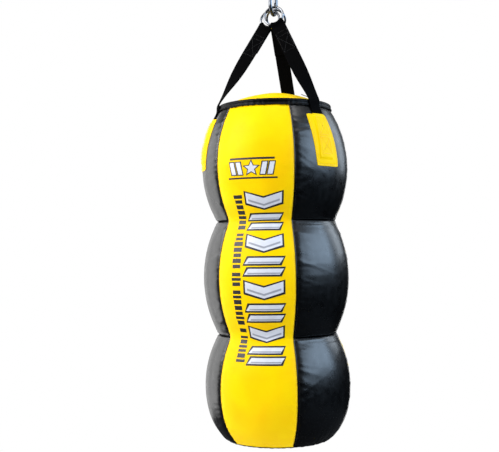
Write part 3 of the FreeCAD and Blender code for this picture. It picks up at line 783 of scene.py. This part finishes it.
def build_rim():
    """The rolled binding: a fat roll over the edge and a gathered flap sewn down outside it."""
    angle = full_turn(480)
    rng = random.Random(12)
    gather, scallop = np.zeros_like(angle), np.zeros_like(angle)
    place = 0.0
    while place < 2 * math.pi:
        wide = rng.uniform(0.018, 0.034)
        gap = (angle - place + math.pi) % (2 * math.pi) - math.pi
        gather += rng.uniform(0.5, 1.5) * MM * bell(gap, wide)
        scallop += rng.uniform(1.0, 3.6) * MM * bell(gap, 1.2 * wide)
        place += rng.uniform(0.06, 0.12)
    rows = []
    for turn in np.linspace(math.radians(215), math.radians(-25), 15):
        radius = PIPING_R * (1 + 0.04 * math.sin(3 * turn))
        r = RIM_R + radius * math.cos(turn) + gather * 0.55 * max(math.cos(turn), 0)
        z = RIM_Z + 3.5 * MM + radius * math.sin(turn) - scallop * 0.2 * max(math.cos(turn), 0)
        rows.append((r, z))
    azimuth = angle + math.pi / 2
    for share, lift in ((0.0, 3.4), (0.25, 2.6), (0.55, 2.1), (0.8, 1.8), (1.0, 1.5)):
        z = RIM_Z - 3 * MM - 5 * MM * share - 0.8 * scallop * share
        point, _ = shell.at(azimuth, run_at(z), lift * MM + gather * (0.4 + 0.5 * share))
        rows.append((np.hypot(point[:, 0], point[:, 1]), point[:, 2]))
    binding = grid_piece("rim_roll", revolved(angle, rows), BINDING, close_columns=True)
    fold = binding.modifiers.new("wall", "SOLIDIFY")
    fold.thickness, fold.offset = 1.2 * MM, 1.0
    smooth = binding.modifiers.new("round", "SUBSURF")
    smooth.levels = smooth.render_levels = 1
    stand_in(binding, "black_vinyl", "rim_binding")
    point, normal = shell.at(azimuth, run_at(RIM_Z - 6 * MM), 3.9 * MM)
    stitches("rim_stitching", [(point, normal)], BLACK_THREAD, 5 * MM, 7.5 * MM, 0.6 * MM)


def build_base():
    """The bottom: a round panel with radial gathers, and a fat hem round it."""
    ring = shell.grid[-1, :-1:2]
    angle = np.arctan2(ring[:, 1], ring[:, 0])
    rows = []
    for share in np.linspace(0.975, 0.04, 26):
        waves = np.sin(38 * angle + 3 * np.sin(4 * angle)) + 0.5 * np.sin(61 * angle)
        gather = 1.3 * MM * waves * share**7
        row = ring * [share, share, 1.0]
        row[:, 2] = BASE_Z - 0.4 * MM - 2.5 * MM * (1 - share**4) + gather * 0.5
        rows.append(row)
    panel = closed("base_panel", np.array([ring * [0.985, 0.985, 1] + [0, 0, 1.5 * MM], *rows]), BLACK)
    stand_in(panel, "black_vinyl", "base_disc")
    hem = shell.grid[-1, :-1:2] * [0.96, 0.96, 1] - [0, 0, 1.6 * MM]
    thick = (2.1 + 0.35 * np.sin(53 * angle) + 0.25 * np.sin(31 * angle + 1)) * MM
    tube("base_hem", hem, thick, BLACK, closed=True)


def build_seams():
    """A black welt in every upright seam, thread beside it, and a sewn line round each black waist."""
    runs = np.linspace(4 * MM, END - 3 * MM, 260)
    for index, seam in enumerate(SEAMS[:-1]):
        point, _ = shell.at(seam, runs, 0.8 * MM)
        tube(f"welt_{index}", point, 1.5 * MM, BLACK, sides=6)
        for shift, name in ((-1, "before"), (1, "after")):
            panel = PANELS[(index - (shift < 0)) % len(PANELS)]
            thread = BLACK_THREAD if panel[1] is BLACK else YELLOW_THREAD
            lines = [shell.at(seam + shift * 4.2 * MM / LOBE_R, runs, 0.15 * MM)]
            stitches(f"seam_thread_{name}_{index}", lines, thread)
    lines = []
    for index, (_, material) in enumerate(PANELS):
        if material is BLACK:
            azimuth = np.linspace(SEAMS[index] + 0.01, SEAMS[index + 1] - 0.01, 90)
            for waist in WAIST_RUNS:
                lines += [shell.at(azimuth, waist + gap, 0.2 * MM) for gap in (-3.5 * MM, 3.5 * MM)]
    stitches("waist_thread", lines, BLACK_THREAD)


# ------ straps and patches

STRAPS = {"left": -60.0, "right": 60.0, "back": 180.0}
patch_low, patch_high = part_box("anchor_patch_back")
PATCH_W = patch_high.x - patch_low.x - 5 * MM
PATCH_TOP = patch_high.z
PATCH_TALL = patch_high.z - patch_low.z
STRAP_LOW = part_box("strap_back")[0].z
ACROSS = np.array([-19, -18.7, -16, -9, 0, 9, 16, 18.7, 19]) * MM
WIRE_R = 3 * MM


def ease(share):
    share = np.clip(share, 0, 1)
    return share * share * (3 - 2 * share)


def ring_of(side):
    """The ring's centre, mean radius and the unit vector square to it."""
    co = points_of(NODES[f"ring_{side}"].data)
    centre = (co.min(0) + co.max(0)) / 2
    normal = np.linalg.svd(co - co.mean(0), full_matrices=False)[2][-1]
    radius = np.linalg.norm(co - centre, axis=1).max() - WIRE_R
    return centre, radius, normal


def ribbon(name, middle, normal, along):
    """A strap of even thickness round a grid of centre points, with its own coordinates for the weave."""
    rows, columns, _ = middle.shape
    edge = np.ones(columns)
    edge[[0, -1]] = 0.35
    half = normal * (STRAP_T / 2) * edge[:, None]
    loop = np.concatenate([middle + half, (middle - half)[:, ::-1]], axis=1)
    faces = grid_faces(rows, 2 * columns, close_columns=True)
    last = (rows - 1) * 2 * columns
    faces += [tuple(range(2 * columns)), tuple(reversed(range(last, last + 2 * columns)))]
    strap = make_piece(name, loop.reshape(-1, 3), faces, WEBBING)
    across = np.concatenate([ACROSS, ACROSS[::-1]])
    uv = np.stack([np.tile(across, rows), np.repeat(along, 2 * columns)], 1)
    index = np.empty(len(strap.data.loops), int)
    strap.data.loops.foreach_get("vertex_index", index)
    layer = strap.data.uv_layers.new(name="ribbon")
    layer.data.foreach_set("uv", uv[index].astype(np.float32).ravel())
    return strap


def strap_rows(side):
    """Rows of centre points across a strap: sewn tail, turn round the ring, span and foot."""
    centre, radius, normal = ring_of(side)
    azimuth = math.radians(STRAPS[side])
    out = np.array([math.sin(azimuth), -math.cos(azimuth), 0.0])
    sideways = np.array([math.cos(azimuth), math.sin(azimuth), 0.0])
    foot = out * (RIM_R + PIPING_R + 5.2 * MM) + [0, 0, RIM_Z + 5 * MM]
    pull = foot - centre
    pull = unit(pull - normal * (pull @ normal))
    through = normal if normal @ out > 0 else -normal
    along = np.cross(pull, through)
    toward = 1 if sideways @ along > 0 else -1
    turn = WIRE_R + 0.4 * MM + STRAP_T / 2
    bend = [(s, -1.45 * MM) for s in np.linspace(74, 14, 21) * MM]
    bend += [(turn * math.cos(a), -turn * math.sin(a)) for a in np.radians(np.linspace(35, 325, 25))]
    bend += [(s, 1.45 * MM) for s in (14 * MM, 17 * MM)]
    rows = []
    for s, off in bend:
        flat = ease(s / (14 * MM))
        ray = ACROSS[:, None] / radius * 0.92
        spread_out = np.cos(ray) * pull + np.sin(ray) * along
        row = spread_out * (radius + s) * (1 - flat) + (pull * (radius + s) + along * ACROSS[:, None]) * flat
        rows.append(centre + row + through * off)
    start = centre + pull * (radius + 17 * MM) + through * 1.45 * MM
    span = foot - start
    for share in np.linspace(0, 1, 80)[1:]:
        twist = ease(share) ** 2.5
        across = unit(along * (1 - twist) + toward * sideways * twist)
        across = unit(across - unit(span) * (across @ unit(span)))
        rows.append(start + span * share + across * ACROSS[:, None])
    runs = np.linspace(run_at(RIM_Z - 6 * MM), run_at(STRAP_LOW), 42)
    for run in runs:
        lift = 1.7 * MM + 2.8 * MM * (1 - ease((run - runs[0]) / (14 * MM)))
        rows.append(shell.at(azimuth + toward * ACROSS / (LOBE_R * 0.9), run, lift)[0])
    rows = np.array(rows)
    first = len(bend) + 60
    for _ in range(4):
        rows[first:-1] = (rows[first - 1 : -2] + 2 * rows[first:-1] + rows[first + 1 :]) / 4
    return rows, len(bend)


def build_strap(side):
    rows, bent = strap_rows(side)
    down = unit(np.gradient(rows, axis=0))
    over = unit(np.gradient(rows, axis=1))
    normal = unit(np.cross(over, down))
    along = length_along(rows[:, len(ACROSS) // 2])
    stand_in(ribbon(f"webbing_{side}", rows, normal, along), "black_webbing", f"strap_{side}")
    sewn = slice(bent + 2, bent + 24)
    outwards = normal[bent + 4, 4] @ (rows[bent + 2, 4] * [1, 1, 0]) >= 0
    face = normal[sewn] if outwards else -normal[sewn]
    thread = rows[sewn] + face * 1.5 * MM
    top, bar, foot = 1, 5, 21
    lines = [(thread[top:foot, j], face[top:foot, j]) for j in (2, 6)]
    lines += [(thread[i, 2:7], face[i, 2:7]) for i in (top, bar, foot)]
    for a, b in ((2, 6), (6, 2)):
        corners = rows[sewn][[bar, foot], [a, b]] + face[bar, 4] * 1.5 * MM
        lines.append((np.linspace(*corners, 12), np.tile(face[bar, 4], (12, 1))))
    stitches(f"webbing_stitching_{side}", lines, BLACK_THREAD)


def build_patch(side):
    """A yellow patch sewn over the strap's end, raised where the strap runs under it."""
    azimuth = math.radians(STRAPS[side])
    lean = {"left": -0.07, "right": 0.09, "back": 0.0}[side]
    u = np.linspace(-1, 1, 61)[None, :]
    v = np.linspace(-1, 1, 97)[:, None]
    across = PATCH_W / 2 * u * (1 - 0.035 * v**8 * u**6)
    down = PATCH_TALL / 2 * v * (1 - 0.02 * u**8 * v**6)
    run = run_at(PATCH_TOP) + PATCH_TALL / 2 + down
    over_strap = ease((22.5 * MM - abs(across + lean * down)) / (4 * MM))
    over_strap = over_strap * ease((run_at(STRAP_LOW) + 5 * MM - run) / (6 * MM))
    lift = (1.2 + 2.9 * over_strap) * MM
    edge = np.minimum((1 - abs(u)) * PATCH_W / 2, (1 - abs(v)) * PATCH_TALL / 2)
    lift = lift - 0.8 * MM * bell(edge - 4.5 * MM, 1.6 * MM)
    rng = random.Random(40 + int(STRAPS[side]))
    for low, high in ((8, 60), (66, 106)):
        for way in (-1, 1):
            for share in np.linspace(0.0, 1.0, 9):
                at_x = way * (share * 2 - 1) * 15 * MM
                at_y = (low + (high - low) * share) * MM - PATCH_TALL / 2
                gap = (across + lean * down - at_x) ** 2 + (down - at_y) ** 2
                lift = lift - rng.uniform(0.4, 0.9) * MM * np.exp(-gap / (3.2 * MM) ** 2)
    grid, _ = shell.at(azimuth + (across + lean * down) / MEAN_R, run + 0 * across, lift)
    name = f"anchor_patch_{side}"
    stand_in(skin_piece(f"sewn_{name}", grid, YELLOW), "yellow_vinyl", name, fill=0.3)
    border = 4.5 * MM
    half = PATCH_W / 2 - border
    top, low = run_at(PATCH_TOP) + border, run_at(PATCH_TOP) + PATCH_TALL - border
    hem = (((-half, top), (-half, low)), ((half, top), (half, low)), ((-half, low), (half, low)))
    lines = [patch_line(azimuth, a, b, 2.4, lean) for a, b in hem]
    for high_run, low_run in ((top + 5 * MM, top + 54 * MM), (top + 60 * MM, top + 102 * MM)):
        a, b = (-15 * MM, high_run), (15 * MM, high_run)
        c, d = (-15 * MM, low_run), (15 * MM, low_run)
        seams = ((a, b), (c, d), (a, c), (b, d), (a, d), (b, c))
        lines += [patch_line(azimuth, *ends, 5.6) for ends in seams]
    stitches(f"patch_stitching_{side}", lines, YELLOW_THREAD)


def patch_line(azimuth, start, end, lift, lean=0.0):
    """A sewn line on a patch between two (across, run) points, turned by the patch's lean."""
    share = np.linspace(0, 1, 40)
    across, run = (start[i] + (end[i] - start[i]) * share for i in (0, 1))
    across = across + lean * (run - run_at(PATCH_TOP) - PATCH_TALL / 2)
    return shell.at(azimuth + across / MEAN_R, run, lift * MM)


# ------ print on the front


def printed(name, quads, material, lift):
    """Thin ink areas on the front panel: quads of (across, run) corners, cut small enough to follow it."""
    vertices, faces = [], []
    steps = 15
    share = np.linspace(0, 1, steps)
    for quad in quads:
        a, b, c, d = np.array(quad)
        top, low = a + (b - a) * share[:, None], d + (c - d) * share[:, None]
        grid = top[None] + (low - top)[None] * share[:, None, None]
        point, _ = shell.at(grid[..., 0] / MEAN_R, grid[..., 1], lift)
        first = len(vertices)
        vertices += list(point.reshape(-1, 3))
        faces += [tuple(first + i for i in face) for face in grid_faces(steps, steps)]
    make_piece(name, vertices, faces, material)


def slab(x, run, wide, tall, slant=0.0, grow=0.0):
    """A slanted bar centred on (x, run), grown all round by an outline's width."""
    w, h = wide / 2 + grow, tall / 2 + grow
    high, low = run - h, run + h
    return [(x - w + slant, high), (x + w + slant, high), (x + w - slant, low), (x - w - slant, low)]


def chevron_arm(x, run, way, wide, drop, tall, grow=0.0):
    """One arm of a chevron that points down, from its middle out to one side."""
    outer, high, low = x + way * (wide + grow), run - grow, run + tall + grow
    quad = [(x, drop + high), (outer, high), (outer, low), (x, drop + low)]
    return quad if way > 0 else [quad[1], quad[0], quad[3], quad[2]]


def star(x, run, size, grow=0.0):
    """Five quads that make a five-pointed star."""
    quads = []
    for k in range(5):
        tip, left, right = (math.radians(72 * k + d) for d in (0, -36, 36))
        reach, waist = size + 2.2 * grow, size * 0.45 + grow
        ends = [(left, waist), (tip, reach), (right, waist)]
        quads.append([(x, run)] + [(x + r * math.sin(a), run - r * math.cos(a)) for a, r in ends])
    return quads


def build_print():
    """Plain chevrons, bars, dashes and a star where the real bag carries lettering."""
    ink, silver, shade = [], [], []

    def outlined(shape, *size, grow):
        ink.append(shape(*size, grow=grow))
        silver.append(shape(*size))

    x, top, pitch = 26 * MM, float(run_at(-0.602)), 58.5 * MM
    for k in range(8):
        run = top + k * pitch
        for way in (-1, 1):
            if k % 2 == 0:
                outlined(chevron_arm, x, run, way, 45 * MM, 15 * MM, 27 * MM, grow=4.5 * MM)
                shade.append(chevron_arm(x, run + 17 * MM, way, 40 * MM, 13.5 * MM, 5 * MM))
            else:
                level = run + (21 + 13.5 * way) * MM
                outlined(slab, x, level, 84 * MM, 15 * MM, 5 * MM, grow=4.5 * MM)
                shade.append(slab(x, level + 4 * MM, 76 * MM, 3.5 * MM, 1.2 * MM))
    x = -42 * MM
    rng = random.Random(9)
    run = top + 6 * MM
    while run < top + 8 * pitch - 14 * MM:
        tall = rng.choice((7, 9, 11)) * MM
        ink.append(slab(x, run + tall / 2, rng.choice((21, 23, 25)) * MM, tall))
        run += tall + rng.choice((4, 4, 4, 11)) * MM
    run = float(run_at(-0.535))
    for dx in (-47, -30, 30, 47):
        outlined(slab, dx * MM, run + 8 * MM, 11 * MM, 30 * MM, 3 * MM * np.sign(dx), grow=2.5 * MM)
    ink.append(slab(0, run - 16 * MM, 110 * MM, 5 * MM))
    ink.append(slab(0, run + 32 * MM, 122 * MM, 4 * MM))
    ink += star(0, run + 8 * MM, 17 * MM, grow=2.5 * MM)
    silver += star(0, run + 8 * MM, 17 * MM)
    printed("print_outline", ink, PRINT_BLACK, 0.35 * MM)
    printed("print_face", silver, PRINT_SILVER, 0.6 * MM)
    printed("print_shade", shade, PRINT_GREY, 0.8 * MM)


finishes = finish_cad_nodes()
build_inside(finishes)
build_cap("front", -1)
build_cap("back", 1)
build_rim()
build_base()
build_seams()
for side in STRAPS:
    build_strap(side)
    build_patch(side)
build_print()


# ------ camera, light and stage

AZIMUTH = math.radians(18.1)
DISTANCE = 2.463
EYE_LEVEL = -0.744
ROLL = math.radians(-0.8)


def set_camera():
    data = bpy.data.cameras.new("camera")
    data.lens = 66.5
    data.sensor_width = 36
    data.shift_x = -0.054
    data.shift_y = 0.046
    camera = linked("camera", data)
    place = Vector((DISTANCE * math.sin(AZIMUTH), -DISTANCE * math.cos(AZIMUTH), EYE_LEVEL))
    turns = ((AZIMUTH, "Z"), (math.pi / 2, "X"), (ROLL, "Z"))
    first, second, third = (Matrix.Rotation(angle, 4, axis) for angle, axis in turns)
    camera.matrix_world = Matrix.Translation(place) @ first @ second @ third
    bpy.context.scene.camera = camera


def softbox(name, azimuth, distance, height, width, tall, power, colour=(1, 1, 1), target=-0.75):
    """An area light that faces the bag's axis; its azimuth counts from the camera's side."""
    data = bpy.data.lights.new(name, "AREA")
    data.shape, data.size, data.size_y = "RECTANGLE", width, tall
    data.energy, data.color = power, colour
    light = linked(name, data)
    angle = AZIMUTH + math.radians(azimuth)
    place = Vector((distance * math.sin(angle), -distance * math.cos(angle), height))
    light.location = place
    light.visible_camera = False
    light.rotation_euler = (Vector((0, 0, target)) - place).to_track_quat("-Z", "Y").to_euler()


def set_world():
    """White behind the bag, an even fill on it, and a dim room in its gloss, brighter above than below."""
    world = bpy.data.worlds.new("studio")
    bpy.context.scene.world = world
    world.use_nodes = True
    tree = world.node_tree
    back = tree.nodes["Background"]
    back.inputs["Color"].default_value = (1, 1, 1, 1)
    kinds = ("LightPath", "TexCoord", "SeparateXYZ", "MapRange")
    path, place, split, rise = (tree.nodes.new("ShaderNode" + kind) for kind in kinds)
    tree.links.new(place.outputs["Generated"], split.inputs[0])
    tree.links.new(split.outputs[2], rise.inputs["Value"])
    for key, value in (("From Min", 0.0), ("From Max", 0.8), ("To Min", 0.006), ("To Max", 0.3)):
        rise.inputs[key].default_value = value
    strength = rise.outputs[0]
    for ray, level in (("Is Diffuse Ray", 0.5), ("Is Camera Ray", 1.0)):
        mix = tree.nodes.new("ShaderNodeMix")
        tree.links.new(path.outputs[ray], mix.inputs[0])
        tree.links.new(strength, mix.inputs[2])
        mix.inputs[3].default_value = level
        strength = mix.outputs[0]
    tree.links.new(strength, back.inputs["Strength"])


def set_floor():
    """A pale floor well below the bag; shiny surfaces see it as darker than the eye does."""
    n = Nodes("floor")
    grain = n.noise(3, 4)
    path = n.add("LightPath").outputs["Is Glossy Ray"]
    pale = n.mix(n.ramp(grain, 0.3, 0.7, 0, 1), (0.80, 0.80, 0.80, 1), (0.84, 0.84, 0.84, 1))
    material = n.finish(Base_Color=n.mix(path, pale, (0.006, 0.006, 0.007, 1)), Roughness=0.8)
    rings = revolved(full_turn(96), [(r, BASE_Z - 0.5) for r in (0.01, 0.9, 1.8)])
    grid_piece("floor", rings, material, None, close_columns=True)


set_camera()
set_world()
set_floor()
softbox("left_front", -108, 2.4, -0.7, 1.5, 3.0, 31)
softbox("left_side", -140, 2.6, -0.7, 1.3, 3.0, 13)
softbox("left_back", -165, 2.6, -0.7, 1.2, 3.0, 7)
softbox("key", -66, 2.4, 0.7, 1.6, 2.0, 92)
softbox("right_wall", 70, 5.0, 1.4, 6.2, 3.3, 365, (0.56, 0.76, 1.0), target=0.4)
softbox("right_band", 122, 2.2, 0.2, 0.9, 1.4, 12, (0.75, 0.87, 1.0))
softbox("right_rim", 165, 2.4, -0.9, 0.6, 2.0, 6)
softbox("overhead", 10, 0.7, 1.2, 1.4, 1.0, 12)
bpy.context.scene.view_settings.view_transform = "Standard"
